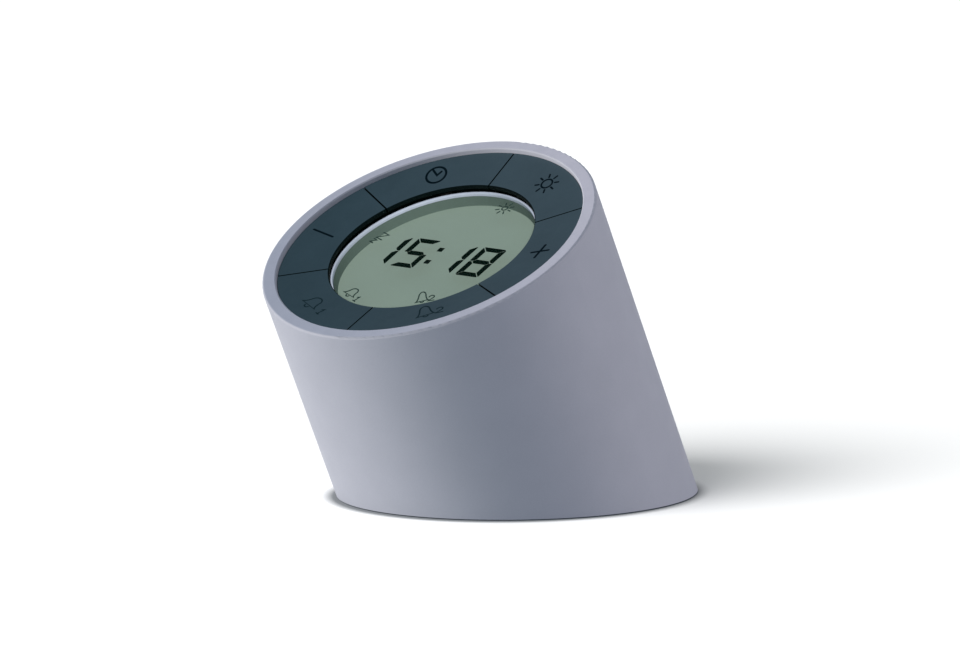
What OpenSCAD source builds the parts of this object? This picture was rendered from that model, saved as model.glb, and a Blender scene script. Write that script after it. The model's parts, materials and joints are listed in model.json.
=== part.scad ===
// Bedside alarm clock: a leaning cylinder with a ring of six keys round a display,
// a rechargeable cell inside and a lamp in its base.

/* [Casing] */
// Outer radius of the leaning cylinder
casing_r = 45; // [44.5:0.5:47]
// Lean of the cylinder's axis from upright, in degrees
tilt = 29; // [27:1:30]
// Length of the axis, from the ground to the middle of the rim
axis_len = 81; // [80:1:88]
// Thickness of the side wall below the rim
wall = 2.4; // [2:0.1:2.6]
// Width of the rim's flat face
rim_w = 3.7; // [3.5:0.1:3.8]
// Rounding of the rim's outer edge
edge_r = 0.6; // [0.4:0.1:1.2]
// Chamfer of the rim's inner edge
rim_chamfer = 0.3; // [0.1:0.1:0.5]
// Height of the casing's lower edge above the ground
base_gap = 0.3; // [0.3:0.1:1]

/* [Keys] */
// Number of keys in the ring
key_count = 6; // [6:1:6]
// Gap between one key and the next
key_gap = 0.45; // [0.3:0.05:0.6]
// Depth of the keys below the rim at their outer edge
key_outer_drop = 1.3; // [1.1:0.1:1.5]
// Depth of the keys below the rim at their inner edge
key_inner_drop = 2.5; // [2.2:0.1:2.6]
// Inner radius of the ring of keys
key_in_r = 27.7; // [27.5:0.1:28]
// Thickness of a key's cap
key_t = 1.1; // [1:0.05:1.1]
// How far a key goes down
key_travel = 0.6; // [0.4:0.1:0.6]

/* [Display] */
// Inner radius of the collar round the display
collar_in_r = 27.4; // [27.2:0.1:27.5]
// Thickness of the collar's wall
collar_w = 0.5; // [0.4:0.1:0.8]
// Depth of the collar's top face below the rim
collar_drop = 4.6; // [4.3:0.05:4.7]
// Depth of the display window below the rim
window_drop = 5; // [5:0.1:5.3]

/* [Base] */
// Height of the tray's underside above the ground
tray_z = 10; // [10:0.5:11]
// Thickness of the tray's floor
tray_t = 1.6; // [1.4:0.1:1.8]
// Thickness of the opal plate under the lamp
diffuser_t = 2.4; // [2:0.1:2.8]
// Radius of a foot
foot_r = 4; // [3:0.5:5]

/* [Power] */
// Radius of the rechargeable cell
cell_r = 9.2; // [9:0.1:9.3]
// Length of the cell
cell_len = 65; // [60:1:66]
// Width of the charging socket's shell
socket_w = 8.94; // [8.8:0.02:9]
// Height of the charging socket's shell
socket_h = 3.16; // [3:0.02:3.2]

/* [Hidden] */
$fn = 96;
eps = 0.01;
far = 200;

// Angles of the keys about the axis, counted from +X, and of what sits between them
key_span = 360 / key_count;
plus_angle = 0;
sun_angle = key_span;
clock_angle = 2 * key_span;
minus_angle = 3 * key_span;
bell_one_angle = 4 * key_span;
bell_two_angle = 5 * key_span;
key_angles = [for (i = [0 : key_count - 1]) i * key_span];
frame_screw_angles = [90, 210, 330];
board_screw_angles = [30, 150, 270];

// Radii about the leaning axis
inner_r = casing_r - wall;
rim_in_r = casing_r - rim_w;
front_r = rim_in_r - 0.15;
key_mid_r = 34.5;
collar_out_r = collar_in_r + collar_w;
flange_r = 30.1;
bezel_peg_ring_r = 29.3;
bezel_peg_r = 0.6;
bezel_peg_hole_r = 0.65;
holder_r = 29.5;
window_r = collar_in_r - 0.05;
lcd_r = collar_in_r - 0.4;
post_ring_r = 38.4;
boss_ring_r = 37.5;

// Depths below the rim, as negative heights along the leaning axis
thick_wall_len = 11;
window_t = 0.45;
window_low = -window_drop - window_t;
window_gap = 0.05;
front_glass_t = 3.3;
rear_glass_t = 0.4;
lcd_top = window_low - window_gap;
lcd_mid = lcd_top - front_glass_t;
lcd_low = lcd_mid - rear_glass_t;
contact_ledge_y = 21.5;
strip_y = 23;
strip_w = 19;
strip_d = 1.8;
small_lamp_x = 19;
plate_top = -8;
flange_t = 0.8;
plate_t = 1.6;
plate_low = plate_top - plate_t;
board_t = 1.6;
board_top = plate_low - 1.6;
board_low = board_top - board_t;
holder_floor = board_top + 1.2;
sheet_t = 0.2;
guide_low = holder_floor + sheet_t;
lug_top = board_low - 1.7;
lug_t = 3;

// Screw sizes: shank radius, hole radii and head
big_shank_r = 1.25;
big_pilot_r = 1.3;
big_clear_r = 1.45;
big_head_r = 2.3;
big_head_h = 1.7;
small_shank_r = 0.95;
small_pilot_r = 1;
small_clear_r = 1.15;
small_head_r = 1.9;
small_head_h = 1.3;

// Keys, their pins and their switches
pin_r = 1.2;
pin_hole_r = 1.28;
pin_ring_r = 36;
pin_angle = 17;
pin_catch_r = 1.55;
pin_catch_h = 0.5;
stem_r = 2.2;
stem_low = -6.6;
switch_w = 6.2;
switch_h = 3.4;
switch_top = board_top + switch_h;
plunger_r = 1.7;
plunger_hole_r = 1.75;
plunger_len = 3.6;

// The origin is under the middle of the object's outline, on the ground
front_y = -axis_len * sin(tilt) - casing_r * cos(tilt) + edge_r * (cos(tilt) + sin(tilt) - 1);
back_y = casing_r / cos(tilt) - base_gap * tan(tilt);
shift_y = -(front_y + back_y) / 2;

// Base: heights above the ground
tray_top = tray_z + tray_t;
diffuser_low = base_gap + 0.2;
diffuser_top = diffuser_low + diffuser_t;
skirt_out_r = inner_r - 0.4;
skirt_in_r = skirt_out_r - 2.2;
led_board_t = 1.6;
led_board_z = tray_z - led_board_t;
led_board_r = 34;
led_board_y = shift_y - led_board_z * tan(tilt);
led_h = 0.8;
led_screw_ring_r = 26;
led_screw_angles = [60, 120, 270];
led_post_h = 2;
boss_seat_z = 18;
boss_len = 12;
boss_r = 3.2;
boss_floor_t = 2.6;
foot_h = 1.8;
foot_x = 22;
foot_y = 31;

// Cell and its cradle: heights above the ground
cell_floor_t = 1.7;
cell_play = 0.1;
cell_z = tray_top + cell_floor_t + cell_play + cell_r;
cell_y = -2;
cradle_end_t = 2;
cradle_gap = 1;
cradle_half_len = cell_len / 2 + cradle_gap + cradle_end_t;
cradle_half_w = 10.6;
cradle_tab_x = 20;
cradle_tab_y = 14.2;
cradle_tab_z = tray_top + 6;
cradle_tab_t = 1.8;

// Charging board, parallel to the rim, in the leaning frame
charge_low = -axis_len;
charge_t = 1.6;
charge_top = charge_low + charge_t;
charge_half_w = 13;
charge_y0 = 25.6;
charge_y1 = 40.3;
charge_screw_x = 10;
charge_screw_y = 33;
charge_post_r = 2.4;
socket_len = 7.3;
socket_y1 = casing_r - 0.4;
socket_z = charge_top + socket_h / 2;
socket_skin = 0.3;
lamp_lead_hole = [3, 25];

// Buzzer and tilt switch, under the front board
buzzer_x = -18;
buzzer_y = -10;
buzzer_r = 6;
buzzer_h = 8.5;
buzzer_hole_r = 1.2;
tilt_x = 18;
tilt_y = -10;
tilt_can_r = 2.6;
tilt_bore_r = 1.95;
tilt_can_len = 7.4;
tilt_header_t = 0.8;
tilt_floor_t = 0.6;
tilt_ball_r = 1.8;
tilt_can_top = board_low - tilt_header_t;
tilt_can_low = tilt_can_top - tilt_can_len;

// Leads, their plugs and sockets
lead_r = 0.6;
lead_pair = 1.1;
plug_lift = 5.4;
plug_socket_h = 5;
charge_socket_x = 7;
charge_socket_y = 28.2;
front_socket_x = -10;
front_socket_y = 20;

lilac = "#B2B3C4";
slate = "#33434A";
black = "#131617";
board_green = "#1F5A3C";
metal = "#B9BCC0";
white = "#ECECE8";

// ---- Frames and helpers ----

// Draws children in the leaning frame: z runs along the axis and is 0 in the rim's plane
module leaning() {
    translate([0, shift_y - axis_len * sin(tilt), axis_len * cos(tilt)])
        rotate([tilt, 0, 0])
            children();
}

// Everything between two heights above the ground
module slab(z0, z1) {
    translate([-far / 2, -far / 2, z0])
        cube([far, far, z1 - z0]);
}

// A disc or plate about the leaning axis, cut parallel to the ground
module leaning_slice(r, z0, z1) {
    intersection() {
        leaning()
            translate([0, 0, -2 * axis_len])
                cylinder(r = r, h = 4 * axis_len);
        slab(z0, z1);
    }
}

// A round peg between two heights
module peg(x, y, z0, z1, r) {
    translate([x, y, z0])
        cylinder(r = r, h = z1 - z0);
}

// A round peg at a radius and an angle
module polar_peg(ring_r, angle, z0, z1, r) {
    peg(ring_r * cos(angle), ring_r * sin(angle), z0, z1, r);
}

// A box centred in x and y, between two heights
module block(w, d, z0, z1) {
    translate([-w / 2, -d / 2, z0])
        cube([w, d, z1 - z0]);
}

// A screw with its point up, its head's upper face at z
module screw_up(z, len, shank_r, head_r, head_h) {
    drive_r = head_r * 0.4;
    difference() {
        union() {
            translate([0, 0, z - head_h])
                cylinder(r = head_r, h = head_h);
            translate([0, 0, z - eps])
                cylinder(r = shank_r, h = len);
        }
        translate([0, 0, z - head_h - eps])
            cylinder(r = drive_r, h = head_h * 0.6);
    }
}

// A flat slot shape with round ends
module slot_2d(w, h) {
    square([w - h, h], center = true);
    for (side = [-1, 1])
        translate([side * (w - h) / 2, 0])
            circle(h / 2);
}

// Height along the axis of the seat between a casing boss and the tray, at depth y
function seat_z(y) = (boss_seat_z - y * sin(tilt)) / cos(tilt) - axis_len;

// Calls children at the four casing bosses, with z = 0 at the seat
module at_bosses() {
    for (sx = [-1, 1], sy = [-1, 1]) {
        x = sx * boss_ring_r * cos(45);
        y = sy * boss_ring_r * sin(45);
        translate([x, y, seat_z(y)])
            rotate([0, 0, atan2(y, x)])
                children();
    }
}

// A point of the leaning frame, given in the ground's frame
function lean(p) = [
    p[0],
    shift_y - axis_len * sin(tilt) + p[1] * cos(tilt) - p[2] * sin(tilt),
    axis_len * cos(tilt) + p[1] * sin(tilt) + p[2] * cos(tilt)
];

function unit(v) = v / norm(v);

// A point on the curve that four points guide, and the direction there
function bezier(p, t) =
    pow(1 - t, 3) * p[0] + 3 * pow(1 - t, 2) * t * p[1] + 3 * (1 - t) * t * t * p[2]
    + pow(t, 3) * p[3];
function bezier_dir(p, t) = unit(
    pow(1 - t, 2) * (p[1] - p[0]) + 2 * (1 - t) * t * (p[2] - p[1]) + t * t * (p[3] - p[2])
);

// A wire of radius r along a guided curve
module wire(p, r, rings = 16, sides = 8) {
    points = [
        for (i = [0 : rings], j = [0 : sides - 1])
            let (
                t = i / rings,
                along = bezier_dir(p, t),
                across = unit(cross(along, [0.2, 1, 0.1])),
                up = cross(across, along),
                a = 360 * j / sides
            )
            bezier(p, t) + r * (cos(a) * across + sin(a) * up)
    ];
    walls = [
        for (i = [0 : rings - 1], j = [0 : sides - 1])
            let (k = (j + 1) % sides, a = i * sides, b = a + sides)
            each [[a + j, b + j, b + k], [a + j, b + k, a + k]]
    ];
    first = [[for (j = [0 : sides - 1]) j]];
    last = [[for (j = [sides - 1 : -1 : 0]) rings * sides + j]];
    polyhedron(points, concat(walls, first, last), convexity = 4);
}

// ---- Casing ----

module casing_profile() {
    difference() {
        union() {
            translate([inner_r, -2 * axis_len])
                square([wall, 2 * axis_len - edge_r]);
            translate([rim_in_r, -thick_wall_len])
                square([rim_w, thick_wall_len - edge_r]);
            translate([rim_in_r, -edge_r - eps])
                square([rim_w - edge_r, edge_r + eps]);
            translate([casing_r - edge_r, -edge_r])
                circle(edge_r);
        }
        translate([rim_in_r, 0])
            rotate(45)
                square(rim_chamfer * sqrt(2), center = true);
    }
}

// A lug on the inner wall that takes one screw of the key frame
module frame_lug() {
    translate([post_ring_r, 0, lug_top - lug_t])
        cylinder(r = 3.2, h = lug_t);
    translate([post_ring_r, -3.2, lug_top - lug_t])
        cube([inner_r + wall / 2 - post_ring_r, 6.4, lug_t]);
}

// A boss on the inner wall that takes one screw of the tray
module tray_boss() {
    cylinder(r = boss_r, h = boss_len);
    translate([0, -boss_r, 0])
        cube([inner_r + wall / 2 - boss_ring_r, 2 * boss_r, boss_len]);
}

// The opening in the rear wall for the charging socket
module socket_opening() {
    translate([0, inner_r - 4, socket_z])
        rotate([-90, 0, 0])
            linear_extrude(height = 10)
                slot_2d(socket_w + 0.36, socket_h + 0.36);
}

module casing() {
    color(lilac)
        difference() {
            union() {
                intersection() {
                    leaning()
                        rotate_extrude()
                            casing_profile();
                    slab(base_gap, far);
                }
                leaning() {
                    for (a = frame_screw_angles)
                        rotate([0, 0, a])
                            frame_lug();
                    at_bosses()
                        tray_boss();
                }
            }
            leaning() {
                for (a = frame_screw_angles)
                    polar_peg(post_ring_r, a, lug_top - lug_t - 1, lug_top + 1, big_clear_r);
                at_bosses()
                    translate([0, 0, -1])
                        cylinder(r = big_pilot_r, h = 9.5);
                socket_opening();
            }
        }
}

// ---- Keys ----

// One key's outline seen along the axis, with straight gaps to its neighbours
module key_wedge() {
    apex = key_gap / 2 / sin(key_span / 2);
    reach = 54;
    polygon([
        [apex, 0],
        [apex + reach * cos(key_span / 2), -reach * sin(key_span / 2)],
        [apex + reach * cos(key_span / 2), reach * sin(key_span / 2)]
    ]);
}

// A key's section: its top dips towards the display
module key_profile() {
    nose = 0.25;
    slope = (key_inner_drop - key_outer_drop) / (front_r - key_in_r);
    polygon([
        [key_in_r, -key_inner_drop - nose],
        [key_in_r + nose, -key_inner_drop + nose * slope],
        [front_r, -key_outer_drop],
        [front_r, -key_outer_drop - key_t],
        [key_in_r, -key_inner_drop - key_t]
    ]);
}

// A key with its stem and two guide pins, each pin with a catch under the frame
module key(angle) {
    color(slate)
        leaning()
            rotate([0, 0, angle]) {
                intersection() {
                    rotate_extrude()
                        key_profile();
                    translate([0, 0, -20])
                        linear_extrude(height = 30)
                            key_wedge();
                }
                peg(key_mid_r, 0, stem_low, -key_inner_drop - eps, stem_r);
                for (side = [-1, 1]) {
                    polar_peg(pin_ring_r, side * pin_angle, plate_low - 0.7, -2.4, pin_r);
                    polar_peg(pin_ring_r, side * pin_angle, plate_low - 0.1 - pin_catch_h,
                        plate_low - 0.1, pin_catch_r);
                }
            }
}

// The moving button of the switch under a key
module plunger(angle) {
    color("#E8E4DA")
        leaning()
            rotate([0, 0, angle])
                peg(key_mid_r, 0, stem_low - plunger_len, stem_low, plunger_r);
}

module switch_bodies() {
    color(black)
        leaning()
            for (a = key_angles)
                rotate([0, 0, a])
                    translate([key_mid_r, 0, 0])
                        difference() {
                            block(switch_w, switch_w, board_top, switch_top);
                            peg(0, 0, board_top + 0.3, switch_top + 1, plunger_hole_r);
                        }
}

// ---- Front frame and display ----

// The plate that carries the keys, the display and the front circuit board
module key_frame() {
    color(black)
        leaning()
            difference() {
                union() {
                    translate([0, 0, plate_low])
                        cylinder(r = front_r, h = plate_t);
                    for (a = frame_screw_angles)
                        polar_peg(post_ring_r, a, lug_top, plate_low + eps, 2.7);
                    for (a = board_screw_angles)
                        polar_peg(post_ring_r, a, board_top, plate_low + eps, 2.4);
                }
                translate([0, 0, plate_low - 1])
                    cylinder(r = collar_in_r + 0.1, h = plate_t + 2);
                for (a = key_angles)
                    rotate([0, 0, a]) {
                        translate([key_mid_r, 0, 0])
                            block(switch_w + 0.5, switch_w + 0.5, plate_low - 1, plate_top + 1);
                        for (side = [-1, 1])
                            polar_peg(pin_ring_r, side * pin_angle, plate_low - 1, plate_top + 1,
                                pin_hole_r);
                        polar_peg(bezel_peg_ring_r, 0, plate_low - 1, plate_top + 1,
                            bezel_peg_hole_r);
                    }
                for (a = frame_screw_angles)
                    polar_peg(post_ring_r, a, lug_top - 1, plate_top - 0.6, big_pilot_r);
                for (a = board_screw_angles)
                    polar_peg(post_ring_r, a, board_top - 1, plate_top - 0.4, small_pilot_r);
            }
}

// The collar round the display, with a foot that pegs into the frame
module display_bezel() {
    color("#B9C0CC")
        leaning() {
            rotate_extrude()
                polygon([
                    [collar_in_r, plate_top],
                    [flange_r, plate_top],
                    [flange_r, plate_top + flange_t],
                    [collar_out_r, plate_top + flange_t],
                    [collar_out_r, -collar_drop],
                    [collar_in_r, -collar_drop]
                ]);
            for (a = key_angles)
                polar_peg(bezel_peg_ring_r, a, plate_low + 0.2, plate_top + 0.1, bezel_peg_r);
        }
}

module display_window() {
    color([0.85, 0.9, 0.88, 0.35])
        leaning()
            peg(0, 0, window_low, -window_drop, window_r);
}

// What lies between two heights inside the collar, short of the contact strips
module clear_of_strips(z0, z1, r) {
    intersection() {
        peg(0, 0, z0, z1, r);
        block(far, 2 * contact_ledge_y, z0, z1);
    }
}

// Calls children at the two small lamps behind the display
module at_small_lamps() {
    for (side = [-1, 1])
        translate([side * small_lamp_x, 0, 0])
            children();
}

// Two sheets of glass: the rear one is shorter, which bares the contacts at its edges
module lcd_cell() {
    color("#85968E")
        leaning() {
            peg(0, 0, lcd_mid, lcd_top, lcd_r);
            clear_of_strips(lcd_low, lcd_mid + eps, lcd_r);
        }
}

module light_guide() {
    color("#F2F4F2")
        leaning()
            clear_of_strips(guide_low, lcd_low, lcd_r - 0.3);
}

// White sheet behind the light guide, open over the two small lamps
module reflector_sheet() {
    color(white)
        leaning()
            difference() {
                clear_of_strips(holder_floor, guide_low, lcd_r - 0.3);
                at_small_lamps()
                    block(4.2, 3.6, holder_floor - 1, guide_low + 1);
            }
}

// The tray that holds the glass and the contact strips on the board
module lcd_holder() {
    color("#D8D8D4")
        leaning()
            difference() {
                peg(0, 0, board_top, plate_low, holder_r);
                peg(0, 0, holder_floor, plate_low + 1, lcd_r + 0.2);
                for (side = [-1, 1])
                    translate([0, side * strip_y, 0])
                        block(strip_w + 0.4, strip_d + 0.4, board_top - 1, plate_low + 1);
                at_small_lamps()
                    block(4.2, 3.6, board_top - 1, plate_low + 1);
            }
}

// Strips that carry the display's signals from the glass to the board
module zebra_strips() {
    color("#D9D4CC")
        leaning()
            for (side = [-1, 1])
                translate([0, side * strip_y, 0])
                    block(strip_w, strip_d, board_top, lcd_mid);
}

module backlight_leds() {
    color("#F4F1DC")
        leaning()
            at_small_lamps()
                block(3.5, 2.8, board_top, board_top + 1.1);
}

module display_board() {
    color(board_green)
        leaning()
            difference() {
                peg(0, 0, board_low, board_top, front_r - 0.2);
                for (a = frame_screw_angles)
                    rotate([0, 0, a]) {
                        polar_peg(post_ring_r, 0, board_low - 1, board_top + 1, 3.1);
                        translate([post_ring_r + 3, 0, 0])
                            block(6, 6.2, board_low - 1, board_top + 1);
                    }
                for (a = board_screw_angles)
                    polar_peg(post_ring_r, a, board_low - 1, board_top + 1, small_clear_r);
            }
}

// The clock's processor, its crystal and the larger parts round it
module display_chips() {
    color("#202224")
        leaning() {
            block(10, 10, board_low - 1.5, board_low);
            translate([0, 13, 0])
                block(8, 3.2, board_low - 2.6, board_low);
            for (i = [-2 : 2])
                translate([i * 4, -11, 0])
                    block(2, 1.25, board_low - 0.9, board_low);
            for (side = [-1, 1])
                translate([side * 11, 3, 0])
                    block(3, 1.6, board_low - 1.2, board_low);
        }
}

// A small socket, open on the side that faces away from the board
module wire_socket(base_z, up) {
    floor_t = 0.9;
    z0 = up > 0 ? base_z : base_z - plug_socket_h;
    z1 = z0 + plug_socket_h;
    difference() {
        block(7.4, 4.6, z0, z1);
        block(6, 3, up > 0 ? z0 + floor_t : z0 - 1, up > 0 ? z1 + 1 : z1 - floor_t);
    }
}

module display_sockets() {
    color("#F0EEE6")
        leaning()
            translate([front_socket_x, front_socket_y, 0])
                wire_socket(board_low, -1);
}

module buzzer() {
    color(black)
        leaning()
            translate([buzzer_x, buzzer_y, board_low - buzzer_h])
                difference() {
                    cylinder(r = buzzer_r, h = buzzer_h);
                    translate([0, 0, -1])
                        cylinder(r = buzzer_hole_r, h = 2.5);
                }
}

// ---- Tilt switch ----

module tilt_switch_can() {
    color(metal)
        leaning()
            difference() {
                peg(tilt_x, tilt_y, tilt_can_low, tilt_can_top, tilt_can_r);
                peg(tilt_x, tilt_y, tilt_can_low + tilt_floor_t, tilt_can_top + 1, tilt_bore_r);
            }
}

module tilt_switch_header() {
    color(black)
        leaning()
            peg(tilt_x, tilt_y, tilt_can_top, board_low, tilt_can_r);
}

module tilt_ball() {
    color("#D6B56A")
        leaning()
            translate([tilt_x, tilt_y, tilt_can_low + tilt_floor_t + tilt_ball_r + 0.02])
                sphere(tilt_ball_r);
}

// ---- Screws ----

// Screws that hold the front frame down to the casing's lugs, put in from below
module frame_screws() {
    color(metal)
        leaning()
            for (a = frame_screw_angles)
                rotate([0, 0, a])
                    translate([post_ring_r, 0, 0])
                        screw_up(lug_top - lug_t, 8.4, big_shank_r, big_head_r, big_head_h);
}

module board_screws() {
    color(metal)
        leaning()
            for (a = board_screw_angles)
                rotate([0, 0, a])
                    translate([post_ring_r, 0, 0])
                        screw_up(board_low, 4.2, small_shank_r, small_head_r, small_head_h);
}

// Screws that hold the tray to the casing's bosses
module tray_screws() {
    color(metal)
        leaning()
            at_bosses()
                screw_up(-boss_floor_t, 9.6, big_shank_r, big_head_r, big_head_h);
}

module cradle_screws() {
    color(metal)
        for (sx = [-1, 1], sy = [-1, 1])
            translate([sx * cradle_tab_x, cell_y + sy * cradle_tab_y, 0])
                mirror([0, 0, 1])
                    screw_up(-cradle_tab_z - cradle_tab_t, 6, small_shank_r, small_head_r,
                        small_head_h);
}

module charge_board_screws() {
    color(metal)
        leaning()
            for (side = [-1, 1])
                translate([side * charge_screw_x, charge_screw_y, 0])
                    mirror([0, 0, 1])
                        screw_up(-charge_top, 5, small_shank_r, small_head_r, small_head_h);
}

// Calls children at the lamp board's screws
module at_led_screws() {
    for (a = led_screw_angles)
        translate([led_screw_ring_r * cos(a), led_board_y + led_screw_ring_r * sin(a), 0])
            children();
}

module led_board_screws() {
    color(metal)
        at_led_screws()
            screw_up(led_board_z, 4, small_shank_r, small_head_r, small_head_h);
}

// ---- Base: tray, lamp, opal plate and feet ----

// The tray closes the casing: its skirt is the lamp's reflector
module light_tray() {
    color(white)
        difference() {
            union() {
                leaning_slice(skirt_out_r, tray_z, tray_top);
                difference() {
                    leaning_slice(skirt_out_r, diffuser_top, tray_z + eps);
                    leaning_slice(skirt_in_r, diffuser_top - 1, tray_z);
                }
                intersection() {
                    leaning()
                        at_bosses()
                            translate([0, 0, -20])
                                cylinder(r = 3.4, h = 20);
                    slab(tray_z, far);
                }
                for (sx = [-1, 1], sy = [-1, 1])
                    peg(sx * cradle_tab_x, cell_y + sy * cradle_tab_y, tray_top - eps,
                        cradle_tab_z, 2.4);
                at_led_screws()
                    peg(0, 0, tray_top - eps, tray_top + led_post_h, 2.2);
                intersection() {
                    leaning()
                        for (side = [-1, 1])
                            peg(side * charge_screw_x, charge_screw_y, charge_low - 10,
                                charge_low, charge_post_r);
                    slab(tray_z, far);
                }
            }
            leaning()
                at_bosses() {
                    translate([0, 0, -boss_floor_t - 1])
                        cylinder(r = big_clear_r, h = boss_floor_t + 2);
                    translate([0, 0, -boss_floor_t - 30])
                        cylinder(r = big_head_r + 0.3, h = 30);
                }
            for (sx = [-1, 1], sy = [-1, 1])
                peg(sx * cradle_tab_x, cell_y + sy * cradle_tab_y, tray_top, cradle_tab_z + 1,
                    small_pilot_r);
            at_led_screws()
                peg(0, 0, tray_z - 1, tray_top + led_post_h - 0.6, small_pilot_r);
            leaning()
                for (side = [-1, 1])
                    peg(side * charge_screw_x, charge_screw_y, charge_low - 4.2,
                        charge_low + 1, small_pilot_r);
            peg(lamp_lead_hole[0], lamp_lead_hole[1], tray_z - 1, tray_top + 1, 2.5);
        }
}

module led_board() {
    color("#F4F4F0")
        difference() {
            peg(0, led_board_y, led_board_z, tray_z, led_board_r);
            at_led_screws()
                peg(0, 0, led_board_z - 1, tray_z + 1, small_clear_r);
        }
}

module base_leds() {
    color("#F2D98A")
        for (ring = [[10, 4], [22, 8]], i = [0 : ring[1] - 1])
            translate([0, led_board_y, 0])
                rotate([0, 0, (i + 0.5) * 360 / ring[1]])
                    translate([ring[0], 0, 0])
                        block(3.5, 2.8, led_board_z - led_h, led_board_z);
}

// A soft foot that stands in a pocket of the opal plate
module foot(sx, sy) {
    color("#D9DADC")
        translate([sx * foot_x, shift_y + sy * foot_y, 0])
            rotate_extrude()
                difference() {
                    square([foot_r, foot_h]);
                    translate([foot_r, 0])
                        rotate(45)
                            square(0.3 * sqrt(2), center = true);
                }
}

// The opal plate that the base lamp shines through, with pockets for the feet
module diffuser() {
    lip_h = 1.6;
    color([0.95, 0.95, 0.93])
        difference() {
            union() {
                leaning_slice(skirt_out_r, diffuser_low, diffuser_top);
                difference() {
                    leaning_slice(skirt_in_r - 0.2, diffuser_top - eps, diffuser_top + lip_h);
                    leaning_slice(skirt_in_r - 1.6, diffuser_top, diffuser_top + lip_h + 1);
                }
            }
            for (sx = [-1, 1], sy = [-1, 1])
                peg(sx * foot_x, shift_y + sy * foot_y, diffuser_low - 1, foot_h, foot_r + 0.05);
        }
}

// ---- Power ----

// A bar along x with its middle at the cell's middle
module cell_bar(x0, x1, r) {
    translate([x0, cell_y, cell_z])
        rotate([0, 90, 0])
            cylinder(r = r, h = x1 - x0);
}

module battery_cell() {
    button_t = 1;
    color("#2F6FB0")
        union() {
            cell_bar(-cell_len / 2, cell_len / 2 - button_t, cell_r);
            cell_bar(cell_len / 2 - button_t - eps, cell_len / 2, 3.2);
        }
}

// Nickel strips welded to the two ends of the cell
module cell_tabs() {
    tab_t = 0.2;
    color(metal)
        for (side = [-1, 1])
            translate([side * (cell_len / 2 + tab_t / 2), cell_y, 0])
                block(tab_t, 5, cell_z - 2, cell_z + 10);
}

module cell_cradle() {
    color("#DADADA")
        difference() {
            union() {
                translate([0, cell_y, 0])
                    block(2 * cradle_half_len, 2 * cradle_half_w, tray_top, cell_z);
                for (side = [-1, 1])
                    translate([side * (cradle_half_len - cradle_end_t / 2), cell_y, 0])
                        block(cradle_end_t, 2 * cradle_half_w, tray_top, cell_z + 5);
                for (sx = [-1, 1])
                    translate([sx * cradle_tab_x, cell_y, 0])
                        block(7, 2 * cradle_tab_y + 6, cradle_tab_z,
                            cradle_tab_z + cradle_tab_t);
            }
            cell_bar(-cell_len / 2 - cradle_gap, cell_len / 2 + cradle_gap, cell_r + cell_play);
            for (side = [-1, 1])
                translate([side * (cell_len / 2 + cradle_gap / 2), cell_y, 0])
                    block(cradle_gap, 8, cell_z - 3, cell_z + 1);
            for (sx = [-1, 1], sy = [-1, 1])
                peg(sx * cradle_tab_x, cell_y + sy * cradle_tab_y, cradle_tab_z - 1,
                    cradle_tab_z + cradle_tab_t + 1, small_clear_r);
        }
}

module charge_board() {
    color(board_green)
        leaning()
            difference() {
                translate([-charge_half_w, charge_y0, charge_low])
                    cube([2 * charge_half_w, charge_y1 - charge_y0, charge_t]);
                for (side = [-1, 1])
                    peg(side * charge_screw_x, charge_screw_y, charge_low - 1, charge_top + 1,
                        small_clear_r);
            }
}

// The charging circuit and its coil
module charge_chips() {
    color("#202224")
        leaning() {
            translate([0, 33.5, 0])
                block(4, 4, charge_top, charge_top + 0.9);
            translate([4.6, 33.5, 0])
                block(3, 3, charge_top, charge_top + 1.6);
            for (i = [-1 : 1])
                translate([i * 2.2 - 4.6, 33.5, 0])
                    block(1.25, 2, charge_top, charge_top + 0.8);
        }
}

module charge_sockets() {
    color("#F0EEE6")
        leaning()
            for (side = [-1, 1])
                translate([side * charge_socket_x, charge_socket_y, 0])
                    wire_socket(charge_top, 1);
}

module usb_shell() {
    color(metal)
        leaning()
            translate([0, socket_y1, socket_z])
                rotate([90, 0, 0])
                    difference() {
                        linear_extrude(height = socket_len)
                            slot_2d(socket_w, socket_h);
                        translate([0, 0, -1])
                            linear_extrude(height = socket_len)
                                slot_2d(socket_w - 2 * socket_skin, socket_h - 2 * socket_skin);
                    }
}

module usb_tongue() {
    color(black)
        leaning()
            translate([0, socket_y1 - socket_len + 1 + 2.6, socket_z])
                cube([6.7, 5.2, 0.7], center = true);
}

// ---- Leads ----

// Where a lead leaves a plug in the charging board's sockets, and in the front board's
function charge_end(x) = lean([x, charge_socket_y, charge_top + plug_lift]);
function charge_rise(x) = lean([x, charge_socket_y, charge_top + plug_lift + 9]);
function front_end(x) = lean([x, front_socket_y, board_low - plug_lift]);
function front_drop(x) = lean([x, front_socket_y, board_low - plug_lift - 16]);

module battery_leads() {
    color("#B3261E")
        for (side = [-1, 1])
            wire([
                [side * (cell_len / 2 + 1.2), cell_y, cell_z + 9],
                [side * (cell_len / 2 + 0.5), cell_y + 4, cell_z + 20],
                charge_rise(charge_socket_x + side * lead_pair),
                charge_end(charge_socket_x + side * lead_pair)
            ], lead_r);
}

module display_leads() {
    color("#3A3A3C")
        for (side = [-1, 1])
            wire([
                charge_end(-charge_socket_x + side * lead_pair),
                charge_rise(-charge_socket_x + side * lead_pair),
                front_drop(front_socket_x + side * lead_pair),
                front_end(front_socket_x + side * lead_pair)
            ], lead_r);
}

module lamp_leads() {
    x = lamp_lead_hole[0];
    y = lamp_lead_hole[1];
    color("#E6E6E2")
        for (side = [-1, 1])
            wire([
                [x + side * 0.9, y, tray_z],
                [x + side * 0.9, y, tray_z + 12],
                lean([side * 0.9, charge_y0 + 1.8, charge_top + 11]),
                lean([side * 0.9, charge_y0 + 1.8, charge_top])
            ], lead_r, 20);
}

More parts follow.
